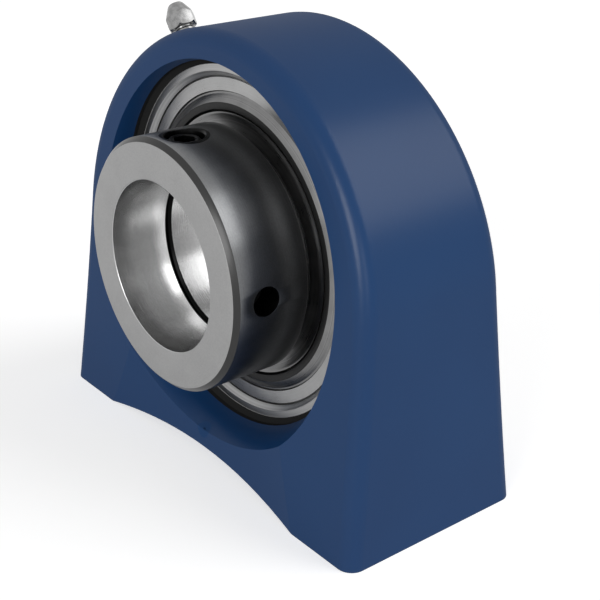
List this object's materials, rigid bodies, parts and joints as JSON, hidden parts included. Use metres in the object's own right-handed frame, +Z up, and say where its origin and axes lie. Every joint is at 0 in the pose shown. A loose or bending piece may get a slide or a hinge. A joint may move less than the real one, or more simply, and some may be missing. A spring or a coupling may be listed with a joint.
{
  "type": "pillow block bearing",
  "caption": "Short tapped-base pillow block with a self-aligning insert ball bearing, an eccentric locking collar and a grease nipple.",
  "frame": {"origin": "on the shaft axis, in the middle plane of the spherical seat", "axes": "+X along the base, +Y along the shaft away from the locking collar, +Z up from the base"},
  "size_m": [0.1026, 0.052, 0.092],
  "materials": {
    "housing_paint": "blue enamel paint on grey cast iron, satin",
    "bearing_steel": "ground bearing steel",
    "collar_steel": "dark oxide with a turned end face",
    "screw_steel": "black oxide",
    "seal_steel": "zinc plated sheet, matt",
    "flinger_steel": "pressed sheet, dull",
    "seal_rubber": "black nitrile rubber",
    "cage_nylon": "glass-filled polyamide",
    "zinc": "bright zinc plate",
    "spring_steel": "drawn spring wire"
  },
  "bodies": {
    "base": {"housing": "housing_paint", "grease_nipple": "zinc", "nipple_spring": "spring_steel"},
    "outer": {"outer_ring": "bearing_steel", "seal_carrier_front": "seal_steel", "seal_carrier_rear": "seal_steel", "seal_lip_front": "seal_rubber", "seal_lip_rear": "seal_rubber"},
    "inner": {"inner_ring": "bearing_steel", "flinger_front": "flinger_steel", "flinger_rear": "flinger_steel"},
    "ball_cage": {"cage": "cage_nylon"},
    "ball_1_body": {"ball_1": "bearing_steel"},
    "ball_2_body": {"ball_2": "bearing_steel"},
    "ball_3_body": {"ball_3": "bearing_steel"},
    "ball_4_body": {"ball_4": "bearing_steel"},
    "ball_5_body": {"ball_5": "bearing_steel"},
    "ball_6_body": {"ball_6": "bearing_steel"},
    "ball_7_body": {"ball_7": "bearing_steel"},
    "ball_8_body": {"ball_8": "bearing_steel"},
    "ball_9_body": {"ball_9": "bearing_steel"},
    "collar": {"locking_collar": "collar_steel"},
    "screw": {"set_screw": "screw_steel"},
    "check_ball": {"nipple_ball": "bearing_steel"}
  },
  "joints": [
    {"name": "self_align", "type": "hinge", "parent": "base", "child": "outer", "pos_m": [0, 0, 0], "axis": [1, 0, 0], "range_deg": [-2, 2]},
    {"name": "shaft_spin", "type": "hinge", "parent": "outer", "child": "inner", "pos_m": [0, 0, 0], "axis": [0, 1, 0], "continuous": true},
    {"name": "cage_spin", "type": "hinge", "parent": "outer", "child": "ball_cage", "pos_m": [0, 0, 0], "axis": [0, 1, 0], "continuous": true},
    {"name": "ball_1_roll", "type": "hinge", "parent": "ball_cage", "child": "ball_1_body", "pos_m": [0, 0, 0.02675], "axis": [0, 1, 0], "continuous": true},
    {"name": "ball_2_roll", "type": "hinge", "parent": "ball_cage", "child": "ball_2_body", "pos_m": [-0.01719, 0, 0.02049], "axis": [0, 1, 0], "continuous": true},
    {"name": "ball_3_roll", "type": "hinge", "parent": "ball_cage", "child": "ball_3_body", "pos_m": [-0.02634, 0, 0.00465], "axis": [0, 1, 0], "continuous": true},
    {"name": "ball_4_roll", "type": "hinge", "parent": "ball_cage", "child": "ball_4_body", "pos_m": [-0.02317, 0, -0.01337], "axis": [0, 1, 0], "continuous": true},
    {"name": "ball_5_roll", "type": "hinge", "parent": "ball_cage", "child": "ball_5_body", "pos_m": [-0.00915, 0, -0.02514], "axis": [0, 1, 0], "continuous": true},
    {"name": "ball_6_roll", "type": "hinge", "parent": "ball_cage", "child": "ball_6_body", "pos_m": [0.00915, 0, -0.02514], "axis": [0, 1, 0], "continuous": true},
    {"name": "ball_7_roll", "type": "hinge", "parent": "ball_cage", "child": "ball_7_body", "pos_m": [0.02317, 0, -0.01337], "axis": [0, 1, 0], "continuous": true},
    {"name": "ball_8_roll", "type": "hinge", "parent": "ball_cage", "child": "ball_8_body", "pos_m": [0.02634, 0, 0.00465], "axis": [0, 1, 0], "continuous": true},
    {"name": "ball_9_roll", "type": "hinge", "parent": "ball_cage", "child": "ball_9_body", "pos_m": [0.01719, 0, 0.02049], "axis": [0, 1, 0], "continuous": true},
    {"name": "collar_lock", "type": "hinge", "parent": "inner", "child": "collar", "pos_m": [0, -0.0209, 0], "axis": [0, 1, 0], "range_deg": [-25, 25]},
    {"name": "screw_drive", "type": "slide", "parent": "collar", "child": "screw", "axis": [0, 0, 1], "range_m": [-0.0025, 0.001]},
    {"name": "nipple_valve", "type": "slide", "parent": "base", "child": "check_ball", "axis": [0.5878, 0, -0.809], "range_m": [0, 0.0008], "stiffness_N_per_m": 200, "springref_m": -0.0008, "deforming": ["nipple_spring"]}
  ],
  "couplings": [
    {"joint": "cage_spin", "follows": "shaft_spin", "ratio": 0.39615},
    {"joint": "ball_1_roll", "follows": "shaft_spin", "ratio": -2.3035},
    {"joint": "ball_2_roll", "follows": "shaft_spin", "ratio": -2.3035},
    {"joint": "ball_3_roll", "follows": "shaft_spin", "ratio": -2.3035},
    {"joint": "ball_4_roll", "follows": "shaft_spin", "ratio": -2.3035},
    {"joint": "ball_5_roll", "follows": "shaft_spin", "ratio": -2.3035},
    {"joint": "ball_6_roll", "follows": "shaft_spin", "ratio": -2.3035},
    {"joint": "ball_7_roll", "follows": "shaft_spin", "ratio": -2.3035},
    {"joint": "ball_8_roll", "follows": "shaft_spin", "ratio": -2.3035},
    {"joint": "ball_9_roll", "follows": "shaft_spin", "ratio": -2.3035}
  ]
}
